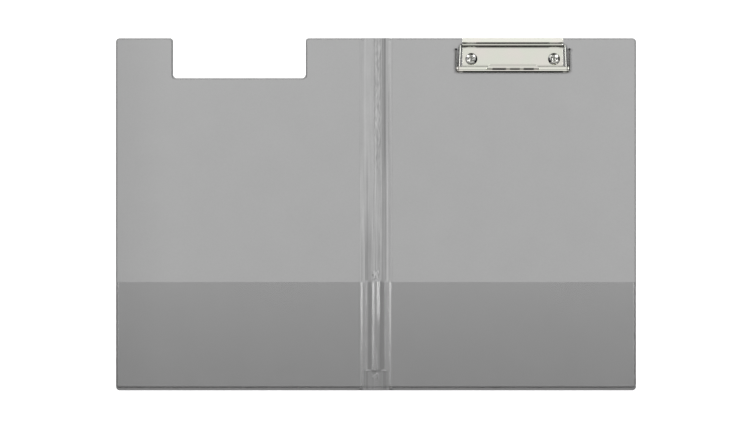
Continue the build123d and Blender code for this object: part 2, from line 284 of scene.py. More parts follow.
# Spine lining: the inside film where it crosses from board to board. It sinks from each board's
# edge into a groove and lies over a soft ridge, which is drawn flat towards the clip. It is made
# here in two halves that meet at a crease.
fold_x = 5.5 * mm
folder_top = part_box("spine_outer_film")[1].y
folder_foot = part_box("spine_outer_film")[0].y
face_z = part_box("back_inner_film")[1].z
film = 0.3 * mm
lining_sheet = 0.25 * mm
lining_edge = 15.0 * mm
slope_start = 10.4 * mm  # across, where the lining starts to climb to the boards
slope_end = 14.2 * mm
crease_x = -1.6 * mm
lining_floor_z = 0.95 * mm
lining_weld_z = 0.62 * mm
lining_top_z = face_z + 0.03 * mm
ridge_z = 1.72 * mm
pocket_top_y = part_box("spine_pocket_film")[1].y
spine_weld_y = folder_foot + 18.2 * mm  # the weld across the spine's foot ends here
painted_groove_shade = 0.74  # painted shade: the film is painted this much darker at a depth of 1


def ease(low, high, value):
    """0 before low and 1 after high, with a smooth run between; low may be the larger."""
    share = min(max((value - low) / (high - low), 0), 1)
    return share * share * (3 - 2 * share)


def crumple(x, y, across, along):
    """Random height from -1 to 1 in creases of a given width and length."""
    return noise.noise(Vector((x / across, y / along, 3.7))) * 1.6


def flattened(y):
    """1 over the weld across the spine's foot, and 0 above it."""
    return ease(spine_weld_y + 1 * mm, spine_weld_y - 1 * mm, y)


def puckered(x, y):
    """1 in the small patch above the pocket where the lining is puckered, and 0 away from it."""
    near_pocket = ease(-49 * mm, -53 * mm, y) * ease(-61 * mm, -59 * mm, y)
    return near_pocket * (1 - ease(3 * mm, 4 * mm, abs(x)))


def lining_height(x, y):
    """Height of the lining's upper side."""
    across = abs(x)
    climb = ease(slope_start, slope_end, across)
    slack = ease(20 * mm, -40 * mm, y) if x < 0 else 0.35 + 0.65 * ease(175 * mm, 60 * mm, y)
    from_ridge = abs(x - 1.4 * mm * ease(-10 * mm, 90 * mm, y))
    ridge = 1 - ease(2.4 * mm, 5.0 * mm, from_ridge)
    sunk = lining_floor_z + (ridge_z - lining_floor_z) * ridge
    sunk += (lining_top_z - lining_floor_z) * climb
    taut = ridge_z + (lining_top_z - ridge_z) * ease(0.5 * mm, slope_end, across)
    z = taut + (sunk - taut) * slack
    ruffled = ease(60 * mm, 110 * mm, y) * (1 - ease(2.6 * mm, 3.6 * mm, abs(x - 2.0 * mm)))
    z += 0.16 * mm * ruffled * crumple(x, y, 1.1 * mm, 9 * mm)
    creased = ease(10 * mm, 60 * mm, y) * (1 - ease(0.15 * mm, 0.7 * mm, abs(x - crease_x)))
    z -= 0.22 * mm * creased
    z += 0.05 * mm * crumple(x, y, 2.2 * mm, 40 * mm) * (1 - ease(9 * mm, 13 * mm, across))
    z += 0.3 * mm * puckered(x, y) * crumple(x, y, 1.3 * mm, 1.6 * mm)
    flat = lining_weld_z + (lining_top_z - lining_weld_z) * climb
    z += (flat - z) * ease(spine_weld_y + 1 * mm, spine_weld_y - 2 * mm, y)
    end_weld = ease(folder_top - 2.2 * mm, folder_top - 0.4 * mm, y)
    end_weld += ease(folder_foot + 3.4 * mm, folder_foot + 1.8 * mm, y)
    return z + (2 * film - z) * end_weld * (0.35 + 0.65 * ease(10 * mm, 12 * mm, across))


def stations(*runs):
    """Places along a line, from runs of a start, an end and the step between them."""
    places = []
    for start, end, step in runs:
        count = max(round(abs(end - start) / step), 1)
        places += [start + (end - start) * i / count for i in range(count)]
    return places + [runs[-1][1]]


def sheet_on(columns, rows, height, settle=None):
    """A sheet over given columns and rows, its height from a function and its plan as UV map.

    Settle, where given, moves each point in plan before its height is set.
    """
    mesh = bmesh.new()
    wide, tall = len(columns) - 1, len(rows) - 1
    bmesh.ops.create_grid(mesh, x_segments=wide, y_segments=tall, size=0.5)
    for vertex in mesh.verts:
        vertex.co.x = columns[round((vertex.co.x + 0.5) * wide)]
        vertex.co.y = rows[round((vertex.co.y + 0.5) * tall)]
        if settle:
            settle(vertex)
        vertex.co.z = height(vertex.co.x, vertex.co.y)
    plan = mesh.loops.layers.uv.new("plan")
    for face in mesh.faces:
        for corner in face.loops:
            corner[plan].uv = corner.vert.co.xy
    return mesh


def mark_depth(piece, shade):
    """Writes a shade for each point of a piece, which its material reads as depth; on most pieces this
    carries painted shade, painted highlights and painted reflections.
    """
    depth = piece.data.attributes.new("depth", "FLOAT", "POINT")
    for vertex, value in zip(piece.data.vertices, depth.data):
        value.value = shade(vertex.co.x, vertex.co.y)


def give_thickness(piece, thickness):
    """Thickens a sheet downwards."""
    wall = piece.modifiers.new("thickness", "SOLIDIFY")
    wall.thickness = thickness
    wall.offset = -1


def stripe(value, middle, half_width, softness=0.5 * mm):
    """1 along a line of a given half width, and 0 away from it."""
    return 1 - ease(half_width - softness / 2, half_width + softness, abs(value - middle))


def weld_shading_and_marks(x, y):
    """The weld across the spine's foot: two painted highlight arcs, a painted dark line, painted shade
    on its bumps, and its stitches.
    """
    across = abs(x)
    arc_y = spine_weld_y + 0.3 * mm - 0.8 * mm * ease(7.4 * mm, 9.4 * mm, across)
    arcs = stripe(y, arc_y, 0.4 * mm, 0.3 * mm) * stripe(across, 7.1 * mm, 2.1 * mm)
    line = stripe(y, spine_weld_y - 0.9 * mm, 0.4 * mm, 0.3 * mm) * stripe(across, 0, 9.4 * mm)
    bumps = stripe(x, -0.3 * mm, 3.0 * mm) * stripe(y, spine_weld_y - 5.0 * mm, 2.8 * mm)
    bumps += 0.5 * stripe(x, 0, 3.0 * mm) * stripe(y, spine_weld_y + 0.9 * mm, 1.0 * mm)
    stitches = stripe(x, 0.4 * mm, 0.35 * mm, 0.3 * mm) * stripe(y, spine_weld_y - 12.3 * mm, 3.0 * mm)
    marks = 0.3 * line - 4.2 * arcs + 2.4 * bumps * crumple(x, y, 1.1 * mm, 1.2 * mm)
    return marks - 2.0 * stitches * cos(2 * pi * y / (1.9 * mm))


def lining_shade(x, y):
    """Painted shade on the lining: 0 on the flat, 1 in a groove, and below 0 a painted highlight on a
    lit fold.
    """
    upper = ease(20 * mm, 70 * mm, y)
    lower = ease(20 * mm, -40 * mm, y)
    middle = (1 - upper) * (1 - lower)
    covered = ease(pocket_top_y + 2 * mm, pocket_top_y, y)
    bare = lower * (1 - covered)
    weld = flattened(y)
    left_groove = -5.5 - 2.8 * weld
    right_groove = 7.4 - 0.4 * upper - 1.65 * covered * (1 - weld) + 0.6 * weld
    crease = crease_x / mm - ease(60 * mm, -50 * mm, y)
    folds = (  # strength, then middle, half width and softness in mm
        (bare, -7.2, 3.0, 0.5),
        (covered, left_groove, 1.6 - 0.8 * weld, 0.5),
        (0.7 * middle, -8, 0.4, 0.5),
        (1, right_groove, 1.9 - 0.3 * upper - 0.4 * weld, 0.5),
        (0.35 * (1 - upper), 4.0, 1.4, 0.5),
        (0.35 * bare, 1.4, 2.2, 0.5),
        (0.5 * bare, 4.5, 0.6, 0.5),
        (0.9 * upper * crumple(x, y, 0.8 * mm, 5 * mm), 1.6, 2.4, 0.8),
        (-0.45 * middle, -0.4, 0.8, 0.5),
        (-0.6 * lower, -1.7, 0.3, 0.5),
        (0.7 * upper, 1.8, 0.35, 0.3),
        (1.1 * upper, 3.7, 0.4, 0.3),
        (0.4 * upper, 4.7, 0.4, 0.3),
        (0.4 * upper, 6.0, 1.0, 0.5),
        (upper, 8.2, 0.6, 0.3),
        (0.35 * upper, 10.6, 1.4, 0.5),
        (0.6, crease, 0.35, 0.5),
        (-0.1 * upper, -7.2, 4.6, 1.5),
        (-0.7 * upper, -10, 0.3, 0.5),
        (0.4 * upper - 0.3 * lower - 0.25, -12.4, 1.8, 0.5),
        (-0.9 * ease(150 * mm, 90 * mm, y), 13.0, 0.7, 0.5),
        (-0.4 * (1 - upper), 10.8, 0.9, 0.5),
    )
    shade = sum(
        strength * stripe(x / mm, place, half, softness) for strength, place, half, softness in folds
    )
    # Painted shade on the puckers, and on the creases and streaks where the lining is not covered.
    shade += 1.8 * puckered(x, y) * crumple(x, y, 1.1 * mm, 1.6 * mm)
    streaks = crumple(x, y, 1.4 * mm, 50 * mm) + 0.7 * crumple(x, y, 0.7 * mm, 18 * mm)
    streaked = 0.22 - 0.08 * upper + 0.3 * stripe(x, 1.6 * mm, 3.6 * mm, 1 * mm)
    return shade + streaks * (1 - covered) * streaked + weld_shading_and_marks(x, y)


spine_vinyl, shapes, wires, surface = new_material("spine_vinyl")
plan = shapes.new("ShaderNodeUVMap")
plan.uv_map = "plan"
film_grain(shapes, wires, surface, plan.outputs["UV"])
# The depth attribute carries painted shade in the grooves and creases, and below 0 a painted
# highlight.
depth = shapes.new("ShaderNodeAttribute")
depth.attribute_name = "depth"
darkness = shapes.new("ShaderNodeMapRange")
darkness.inputs["To Min"].default_value = 1.0
darkness.inputs["To Max"].default_value = painted_groove_shade
darkness.clamp = False
wires.new(depth.outputs["Fac"], darkness.inputs["Value"])
broad = mottled(shapes, wires, plan.outputs["UV"], 14 * mm, vinyl_grey * 0.98, vinyl_grey * 1.03)
fine = mottled(shapes, wires, plan.outputs["UV"], 1.6 * mm, 0.98, 1.02)
tone = multiply(shapes, wires, multiply(shapes, wires, broad, fine), darkness.outputs["Result"])
wires.new(grey_colour(shapes, wires, tone), surface.inputs["Base Color"])
wires.new(mottled(shapes, wires, plan.outputs["UV"], 5 * mm, 0.36, 0.46), surface.inputs["Roughness"])
surface.inputs["Specular IOR Level"].default_value = 0.45

for side, left, right, cover, sign in (
    ("left", -lining_edge, crease_x, "front_cover", -1),
    ("right", crease_x, lining_edge, "back_cover", 1),
):
    columns = stations((left, right, 0.28 * mm))
    rows = stations(
        (folder_foot, spine_weld_y + 2 * mm, 0.35 * mm),
        (spine_weld_y + 2 * mm, folder_top, 0.8 * mm),
    )
    mesh = sheet_on(columns, rows, lining_height)
    lining = new_object(mesh, f"spine_lining_{side}", spine_vinyl)
    mark_depth(lining, lining_shade)
    give_thickness(lining, lining_sheet)
    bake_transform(lining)
    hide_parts("spine_inner_film")


# Spine skin: the outside film behind the spine. It is flat and unbroken from cover to cover,
# and is made here in two halves, as the lining is.
skin_bend_half = 0.35 * mm
skin_edge = fold_x + skin_bend_half + 0.01 * mm
skin_shade = 0.1
for side, left, right, cover, sign in (
    ("left", -skin_edge, 0, "front_cover", -1),
    ("right", 0, skin_edge, "back_cover", 1),
):
    columns = stations((left, right, 0.2 * mm))
    rows = stations((folder_foot, folder_top, 8 * mm))
    mesh = sheet_on(columns, rows, lambda x, y: film)
    skin = new_object(mesh, f"spine_skin_{side}", spine_vinyl)
    mark_depth(skin, lambda x, y: skin_shade)
    give_thickness(skin, film)
    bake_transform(skin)
    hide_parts("spine_outer_film")


# Pocket: clear smoky film across the foot of the folder, welded at the sides and the foot and
# open towards the clip. It is one sheet that lies flat on the covers and dips into the spine,
# where its shiny folds catch the light. It is made here in two halves, as the lining is.
outer_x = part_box("back_outer_film")[1].x
corner_radius = 3.5 * mm
pocket_face_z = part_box("back_pocket_film")[1].z
pocket_weld_z = 0.8 * mm
pocket_spine_weld_z = 1.95 * mm
side_weld = 1.5 * mm
foot_weld = 3.4 * mm
pocket_split = -0.4 * mm
foot_haze = 0.39  # how much the film hides at the foot, at its open edge and more in a fold; its smoky haze is real, its rise towards the foot and the extra in a fold are painted shade
open_edge_haze = 0.205
fold_shade = 0.09


def between_folds(x, folds):
    """Height of a film drawn straight from fold to fold, each a place across and a height."""
    for (left, left_z), (right, right_z) in zip(folds, folds[1:]):
        if x <= right:
            return left_z + (right_z - left_z) * max(x - left, 0) / (right - left)
    return folds[-1][1]


def narrowing(y):
    """How far the pocket's ridge has narrowed towards the foot, from 0 to 1."""
    return ease(-92 * mm, -125 * mm, y)


def over_spine(x, y):
    """Height of the pocket film near the spine."""
    narrow = narrowing(y)
    face = 3.1  # height in mm of the film on the covers, for which the folds are drawn
    folds = (  # place across and height, in mm
        (-14.4, face),
        (-13.9, 3.08),
        (-12.1, 2.6),
        (-10.0, 2.33),
        (-8.1, 1.99),
        (-7.2, 1.93),
        (-3.7, 1.9),
        (-1.5, 2.52 - 0.05 * narrow),
        (0.6 - 0.6 * narrow, 2.77 - 0.35 * narrow),
        (3.8 - 2.4 * narrow, 1.92),
        (7.5, 1.9),
        (8.7, 2.12),
        (11.8, 2.59),
        (14.0, 3.04),
        (14.6, face),
    )
    z = between_folds(x / mm, folds) * mm + pocket_face_z - face * mm
    across = abs(x)
    z += 0.015 * mm * crumple(x, y, 2.4 * mm, 30 * mm) * (1 - ease(10 * mm, 13 * mm, across))
    welded = ease(spine_weld_y - 0.5 * mm, spine_weld_y - 1.4 * mm, y)
    welded *= ease(10.8 * mm, 10.0 * mm, across)
    bumps = stripe(x, 0, 2.6 * mm) * stripe(y, spine_weld_y - 5.2 * mm, 2.4 * mm)
    flat = pocket_spine_weld_z + 0.05 * mm * crumple(x, y, 1.4 * mm, 1.6 * mm) * bumps
    return z + (flat - z) * welded


def rise(weld, inward):
    """Share of its height that the pocket film has at a distance in from a welded edge."""
    steep = ease(weld - 1.1 * mm, weld - 0.4 * mm, inward)
    slow = ease(weld - 0.9 * mm, weld + 0.9 * mm, inward)
    return 0.7 * steep + 0.3 * slow


def pocket_height(x, y):
    """Height of the pocket film's upper side."""
    share = rise(side_weld, outer_x - abs(x)) * rise(foot_weld, y - folder_foot)
    return pocket_weld_z + (over_spine(x, y) - pocket_weld_z) * share


def pocket_shade(x, y):
    """Painted shade on the pocket film: 1 in the folds beside the ridge."""
    right_start = 4.0 * mm - 2.4 * mm * narrowing(y)
    right_end = 7.4 * mm
    shade = stripe(x, -5.45 * mm, 1.6 * mm)
    shade += stripe(x, (right_start + right_end) / 2, (right_end - right_start) / 2)
    return shade * (1 - 0.8 * flattened(y))


def round_corner(vertex):
    """Draws a point of the square foot corner in to the cover's rounded one."""
    across = abs(vertex.co.x) - (outer_x - corner_radius)
    down = folder_foot + corner_radius - vertex.co.y
    if across > 0 and down > 0:
        share = max(across, down) / hypot(across, down)
        vertex.co.x = (outer_x - corner_radius + across * share) * (1 if vertex.co.x > 0 else -1)
        vertex.co.y = folder_foot + corner_radius - down * share


smoky, shapes, wires, surface = new_material("smoky_film")
plan = shapes.new("ShaderNodeUVMap")
plan.uv_map = "plan"
place = plan.outputs["UV"]
film_grain(shapes, wires, surface, place, 4.0 * mm, 0.02 * mm)
along = shapes.new("ShaderNodeSeparateXYZ")
wires.new(place, along.inputs[0])
closer = shapes.new("ShaderNodeMapRange")
closer.inputs["From Min"].default_value = folder_foot
closer.inputs["From Max"].default_value = pocket_top_y
closer.inputs["To Min"].default_value = foot_haze
closer.inputs["To Max"].default_value = open_edge_haze
wires.new(along.outputs["Y"], closer.inputs["Value"])
clouds = mottled(shapes, wires, place, 9 * mm, 0.97, 1.03)
haze = multiply(shapes, wires, closer.outputs["Result"], clouds)
# The depth attribute adds painted shade in the folds by making the film hide more.
depth = shapes.new("ShaderNodeAttribute")
depth.attribute_name = "depth"
dark = shapes.new("ShaderNodeMath")
dark.operation = "MULTIPLY_ADD"
dark.inputs[1].default_value = fold_shade
wires.new(depth.outputs["Fac"], dark.inputs[0])
wires.new(haze, dark.inputs[2])
wires.new(dark.outputs[0], surface.inputs["Alpha"])
wires.new(mottled(shapes, wires, place, 7 * mm, 0.13, 0.17), surface.inputs["Roughness"])
surface.inputs["Base Color"].default_value = (0.03, 0.03, 0.03, 1)
surface.inputs["IOR"].default_value = 3.0

for side, cover, sign in (("left", "front", -1), ("right", "back", 1)):
    columns = stations(
        (pocket_split, sign * 16 * mm, 0.22 * mm),
        (sign * 16 * mm, sign * (outer_x - 4 * mm), 6 * mm),
        (sign * (outer_x - 4 * mm), sign * outer_x, 0.25 * mm),
    )
    rows = stations(
        (folder_foot, folder_foot + 5 * mm, 0.25 * mm),
        (folder_foot + 5 * mm, spine_weld_y + 2 * mm, 0.3 * mm),
        (spine_weld_y + 2 * mm, pocket_top_y, 0.9 * mm),
    )
    mesh = sheet_on(sorted(columns), rows, pocket_height, round_corner)
    pocket = new_object(mesh, f"pocket_{side}", smoky)
    mark_depth(pocket, pocket_shade)
    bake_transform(pocket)
    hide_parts("spine_pocket_film", f"{cover}_pocket_film")


# Clip base plate: one strip of thin steel, cut and pressed cold. Its rear edge lies flat, then
# the strip rolls up round the wire as a bead, runs on as a flat floor and turns up in a short
# lip. It is polished, plated with bright nickel and riveted to the board through the film.
plate_low, plate_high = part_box("clip_base_plate")
clip_x = (plate_low.x + plate_high.x) / 2
hinge = Vector(next(joint["pos_m"] for joint in frame["joints"] if joint["name"] == "jaw_lift"))
sheet = 0.8 * mm
floor_z = face_z + sheet
bead_radius = 1.86 * mm
bead_root_radius = 0.5 * mm
lip_depth = 1.3 * mm
lip_rise = 0.35 * mm


def plated(name, colour, roughness):
    """Bright nickel plate: faint tints, polishing lines, soft waves, and a painted shade, near black,
    where depth is 1.
    """
    made, shapes, wires, surface = new_material(name)
    place = shapes.new("ShaderNodeTexCoord").outputs["Object"]
    tints = shapes.new("ShaderNodeTexNoise")
    tints.inputs["Scale"].default_value = 1 / (14 * mm)
    tints.inputs["Detail"].default_value = 1
    wires.new(place, tints.inputs["Vector"])
    tint_ramp = shapes.new("ShaderNodeValToRGB")
    tint_stops = tint_ramp.color_ramp.elements
    red, green, blue = colour
    tint_stops[0].position, tint_stops[0].color = 0.36, (red * 1.01, green * 0.985, blue * 0.985, 1)
    tint_stops[1].position, tint_stops[1].color = 0.64, (red * 0.975, green * 1.0, blue * 0.965, 1)
    wires.new(tints.outputs["Fac"], tint_ramp.inputs["Fac"])
    depth = shapes.new("ShaderNodeAttribute")
    depth.attribute_name = "depth"
    painted_dark = shapes.new("ShaderNodeMix")
    painted_dark.data_type = "RGBA"
    painted_dark.inputs["B"].default_value = (0.012, 0.012, 0.013, 1)
    wires.new(depth.outputs["Fac"], painted_dark.inputs["Factor"])
    wires.new(tint_ramp.outputs["Color"], painted_dark.inputs["A"])
    wires.new(painted_dark.outputs["Result"], surface.inputs["Base Color"])
    surface.inputs["Metallic"].default_value = 1
    stretched = shapes.new("ShaderNodeMapping")
    stretched.inputs["Scale"].default_value = (0.08, 1, 1)
    wires.new(place, stretched.inputs["Vector"])
    lines = mottled(shapes, wires, stretched.outputs["Vector"], 0.35 * mm, -1, 1, 2)
    dulled = shapes.new("ShaderNodeMapRange")
    dulled.inputs["From Min"].default_value = -1
    dulled.inputs["To Min"].default_value = roughness * 0.85
    dulled.inputs["To Max"].default_value = roughness * 1.2
    wires.new(lines, dulled.inputs["Value"])
    wires.new(dulled.outputs["Result"], surface.inputs["Roughness"])
    waves = shapes.new("ShaderNodeTexNoise")
    waves.inputs["Scale"].default_value = 1 / (9 * mm)
    waves.inputs["Detail"].default_value = 1
    wires.new(place, waves.inputs["Vector"])
    bump = shapes.new("ShaderNodeBump")
    bump.inputs["Strength"].default_value = 0.5
    bump.inputs["Distance"].default_value = 0.05 * mm
    wires.new(waves.outputs["Fac"], bump.inputs["Height"])
    wires.new(bump.outputs["Normal"], surface.inputs["Normal"])
    return made


def arc(middle, radius, start, end, steps):
    """Points on an arc in a plane, its angles in degrees."""
    turns = [radians(start + (end - start) * i / steps) for i in range(steps + 1)]
    return [(middle[0] + radius * cos(turn), middle[1] + radius * sin(turn)) for turn in turns]


def finish_metal(piece, edge_radius, thickness=None):
    """Gives a pressed piece its thickness, its rounded edges and its flat flats."""
    if thickness:
        give_thickness(piece, thickness)
    rounding = piece.modifiers.new("rounding", "BEVEL")
    rounding.width = edge_radius
    rounding.segments = 3
    rounding.limit_method = "ANGLE"
    rounding.angle_limit = radians(50)
    piece.modifiers.new("flats", "WEIGHTED_NORMAL")


nickel = plated("nickel_plate", (0.95, 0.94, 0.87), 0.09)
root_gap = bead_radius + bead_root_radius
root_rise = floor_z + bead_root_radius - hinge.z
root_run = (root_gap**2 - root_rise**2) ** 0.5
root_angle = atan2(-root_rise, root_run) * 180 / pi
rear_root = (hinge.y + root_run, floor_z + bead_root_radius)
front_root = (hinge.y - root_run, floor_z + bead_root_radius)
lip_bend = (plate_low.y + lip_depth, floor_z)
section = [(plate_high.y, floor_z)]
section += [(rear_root[0] + run * mm, floor_z) for run in (1.0, 0.5)]
section += arc(rear_root, bead_root_radius, 270, 180 - root_angle, 6)
section += arc(hinge.yz, bead_radius, -root_angle, 180 + root_angle, 36)[1:-1]
section += arc(front_root, bead_root_radius, root_angle, -90, 6)
section += [(front_root[0] - run * mm, floor_z) for run in (0.4, 0.8, 1.2, 1.6)]
section += [(lip_bend[0] + 0.5 * mm, floor_z), (lip_bend[0] + 0.12 * mm, floor_z + 0.05 * mm)]
section += [(plate_low.y, floor_z + lip_rise)]
mesh = bmesh.new()
line = [mesh.verts.new((plate_low.x, y, z)) for y, z in section]
edges = [mesh.edges.new(pair) for pair in zip(line, line[1:])]
steps = 40
for _ in range(steps):
    swept = bmesh.ops.extrude_edge_only(mesh, edges=edges)["geom"]
    edges = [part for part in swept if isinstance(part, bmesh.types.BMEdge)]
    bmesh.ops.translate(
        mesh,
        verts=[part for part in swept if isinstance(part, bmesh.types.BMVert)],
        vec=((plate_high.x - plate_low.x) / steps, 0, 0),
    )
mesh.faces.ensure_lookup_table()
floor_face = max(mesh.faces, key=lambda face: face.calc_area())
if floor_face.normal.z < 0:
    bmesh.ops.reverse_faces(mesh, faces=mesh.faces)
base_plate = new_object(mesh, "base_plate", nickel)


def plate_shade(x, y):
    """Painted shade on the plate: in both roots of the bead, less so near its two ends, and a little
    over the floor in front of the bead.
    """
    roots = 0.8 * stripe(y, hinge.y + 1.7 * mm, 0.5 * mm)
    roots += 0.5 * stripe(y, hinge.y - 2.4 * mm, 0.5 * mm)
    roots *= 1 - 0.6 * stripe(abs(x - clip_x), 38 * mm, 4.5 * mm, 1 * mm)
    return 0.14 * ease(hinge.y + 1.5 * mm, hinge.y, y) + roots


mark_depth(base_plate, plate_shade)
finish_metal(base_plate, 0.15 * mm, sheet)
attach(base_plate, "back_cover")
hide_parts("clip_base_plate")


# Rivets: steel rivets with domed and cupped heads, one near each end of the plate. The head's
# edge rolls down into the cup, and the shank is hollow behind and flared over under the board.
def turned(outline, middle):
    """A round piece turned from an outline of radii and heights that starts and ends on its axis."""
    mesh = bmesh.new()
    line = [mesh.verts.new((middle.x + radius, middle.y, z)) for radius, z in outline]
    edges = [mesh.edges.new(pair) for pair in zip(line, line[1:])]
    bmesh.ops.spin(
        mesh,
        geom=line + edges,
        cent=(middle.x, middle.y, 0),
        axis=(0, 0, 1),
        angle=2 * pi,
        steps=64,
        use_merge=True,
        use_duplicate=False,
    )
    bmesh.ops.remove_doubles(mesh, verts=mesh.verts, dist=0.001 * mm)
    bmesh.ops.recalc_face_normals(mesh, faces=mesh.faces)
    return mesh


dome_radius = 5.45 * mm
dome_height = 1.3 * mm
bore_radius = 2.15 * mm
mouth_radius = 0.6 * mm
ball_radius = (dome_radius**2 + dome_height**2) / (2 * dome_height)
ball_z = floor_z + dome_height - ball_radius
mouth_reach = ball_radius - mouth_radius
mouth_middle = bore_radius + mouth_radius
mouth_z = ball_z + (mouth_reach**2 - mouth_middle**2) ** 0.5
mouth_angle = atan2(mouth_z - ball_z, mouth_middle) * 180 / pi
rim_angle = atan2(floor_z - ball_z, dome_radius) * 180 / pi
cup_z = floor_z + 0.1 * mm
cup_web = 0.4 * mm
shank_radius = 2.65 * mm
flare_radius = 4.2 * mm
flare_top_z = 0.7 * mm
rivet_nickel = plated("rivet_nickel", (0.9, 0.89, 0.85), 0.2)


def rivet_shade(across, up):
    """Painted shade and painted reflection on the rivet: dull on its two sides, black along the inward
    part of its rim, darker in its cup.
    """
    radius = hypot(across, up)
    turned_by = atan2(up, across) * 180 / pi
    outward = atan2(up, -across) * 180 / pi
    sides = max(0.95 * stripe(turned_by, 0, 42, 12), stripe(outward, 8, 24, 16))
    painted_dark = 0.1 + 0.86 * sides * stripe(radius, 3.7 * mm, 1.5 * mm)
    painted_dark += 0.6 * stripe(turned_by, -14, 24, 8) * stripe(radius, 4.5 * mm, 0.5 * mm)
    painted_dark += 0.7 * stripe(turned_by, 85, 9, 6) * stripe(radius, 4.3 * mm, 0.6 * mm)
    return min(painted_dark + 0.66 * stripe(radius, 0, 1.9 * mm), 1)


for side in ("left", "right"):
    low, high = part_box(f"clip_rivet_{side}")
    middle = (low + high) / 2
    outline = [(radius * mm, cup_z) for radius in (0, 0.9, 1.6)]
    outline += [(bore_radius, cup_z + 0.35 * mm)]
    outline += arc((mouth_middle, mouth_z), mouth_radius, 180, mouth_angle, 8)
    outline += arc((0, ball_z), ball_radius, mouth_angle, rim_angle, 14)[1:]
    outline += [(shank_radius, floor_z), (shank_radius, flare_top_z), (flare_radius, flare_top_z)]
    outline += [(flare_radius, low.z), (bore_radius, low.z), (bore_radius, cup_z - cup_web)]
    outline += [(0, cup_z - cup_web)]
    rivet = new_object(turned(outline, middle), f"rivet_{side}", rivet_nickel)
    inward = 1 if side == "left" else -1
    mark_depth(rivet, lambda x, y: rivet_shade(inward * (x - middle.x), y - middle.y))
    rivet.modifiers.new("flats", "WEIGHTED_NORMAL")
    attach(rivet, "back_cover")
    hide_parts(f"clip_rivet_{side}")


# Spring wire: round spring steel, nickel-plated and bent cold. Its middle turns in the plate's
# bead, its legs spread a little towards the jaw, and its two ends hook into the jaw's barrels.
wire_radius = 1.0 * mm
wire_bend = 2.0 * mm
jaw_low, jaw_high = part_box("clip_jaw")
jaw_half = (jaw_high.x - jaw_low.x) / 2
wire_low, wire_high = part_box("clip_spring_wire")
hook_y = wire_low.y + wire_radius
corner_x = wire_high.x - wire_radius - clip_x
leg_spread = 1.1 * mm
leg_x = corner_x - leg_spread
hook_length = 15.0 * mm
wire_tip = 0.4 * mm


def onward(mesh, faces, move):
    """Extrudes an end face on by a move, and gives back the new end."""
    grown = bmesh.ops.extrude_face_region(mesh, geom=faces)["geom"]
    bmesh.ops.translate(mesh, verts=[g for g in grown if isinstance(g, bmesh.types.BMVert)], vec=move)
    bmesh.ops.delete(mesh, geom=faces, context="FACES_ONLY")
    return [g for g in grown if isinstance(g, bmesh.types.BMFace)]


def turn(mesh, faces, centre, angle, steps):
    """Turns an end face round an upright axis, and gives back the new end."""
    for _ in range(steps):
        grown = bmesh.ops.extrude_face_region(mesh, geom=faces)["geom"]
        bmesh.ops.rotate(
            mesh,
            verts=[g for g in grown if isinstance(g, bmesh.types.BMVert)],
            cent=centre,
            matrix=Matrix.Rotation(angle / steps, 3, "Z"),
        )
        bmesh.ops.delete(mesh, geom=faces, context="FACES_ONLY")
        faces = [g for g in grown if isinstance(g, bmesh.types.BMFace)]
    return faces


leg_turn = atan2(hinge.y - hook_y, corner_x - leg_x)
first_run = wire_bend * tan(leg_turn / 2)
second_run = wire_bend * tan((pi - leg_turn) / 2)
leg_length = hypot(hinge.y - hook_y, corner_x - leg_x) - first_run - second_run
mesh = bmesh.new()
bmesh.ops.create_circle(
    mesh,
    cap_ends=True,
    radius=wire_radius,
    segments=20,
    matrix=Matrix.Translation((clip_x, hinge.y, hinge.z)) @ Matrix.Rotation(pi / 2, 4, "Y"),
)
end = onward(mesh, mesh.faces[:], (leg_x - first_run, 0, 0))
bend = Vector((clip_x + leg_x - first_run, hinge.y - wire_bend, hinge.z))
end = turn(mesh, end, bend, -leg_turn, 10)
end = onward(mesh, end, (leg_length * cos(leg_turn), -leg_length * sin(leg_turn), 0))
bend = Vector((clip_x + corner_x - second_run, hook_y + wire_bend, hinge.z))
end = turn(mesh, end, bend, leg_turn - pi, 10)
end = onward(mesh, end, (wire_tip - hook_length, 0, 0))
end = onward(mesh, end, (-wire_tip, 0, 0))
bmesh.ops.scale(
    mesh,
    verts=[vertex for face in end for vertex in face.verts],
    vec=(1, 0.6, 0.6),
    space=Matrix.Translation((-clip_x, -hook_y, -hinge.z)),
)
bmesh.ops.mirror(
    mesh,
    geom=mesh.verts[:] + mesh.edges[:] + mesh.faces[:],
    matrix=Matrix.Translation((-clip_x, 0, 0)),
    merge_dist=0.001 * mm,
    axis="X",
)
bmesh.ops.remove_doubles(mesh, verts=mesh.verts, dist=0.002 * mm)
bmesh.ops.recalc_face_normals(mesh, faces=mesh.faces)
# Painted shade: the wire is plated like the plate, but painted much darker so that it reflects less
# light.
shaded_wire_nickel = plated("shaded_wire_nickel", (0.27, 0.27, 0.26), 0.1)
spring_wire = new_object(mesh, "spring_wire", shaded_wire_nickel)
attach(spring_wire, "clip_jaw")
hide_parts("clip_spring_wire")


# Jaw: a steel strip bent round the front of the clip, with an ear along each side that ends in
# a small rolled eye. Its top is drawn over in a rounded rim with a shallow groove, and a tongue
# for the finger stands up from it behind three pressed slots. It is plated like the plate.
jaw_front_y = 128.5 * mm
jaw_low_z = face_z + 0.6 * mm
jaw_top_z = face_z + 3.9 * mm
jaw_flange = 5.5 * mm
jaw_corner = 2.4 * mm
ear_end_y = 149.7 * mm
ear_drop = 1.0 * mm
ear_edge_in = 0.4 * mm  # its upper edge lies this far down inside, and further outside
ear_edge_out = 0.8 * mm
wall_sunk = 1.7 * mm  # in front the wall ends lower still, under the rounded rim
# painted dark reflection on the jaw's wall and ears
wall_shade = 0.75
eye_radius = 0.95 * mm
# painted dark reflection: the rolled eyes are painted black
eye_shade = 1
flange_y = jaw_front_y + jaw_flange


def as_jaw(piece):
    """Declares a piece of the jaw."""
    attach(piece, "clip_jaw")
    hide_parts("clip_jaw")


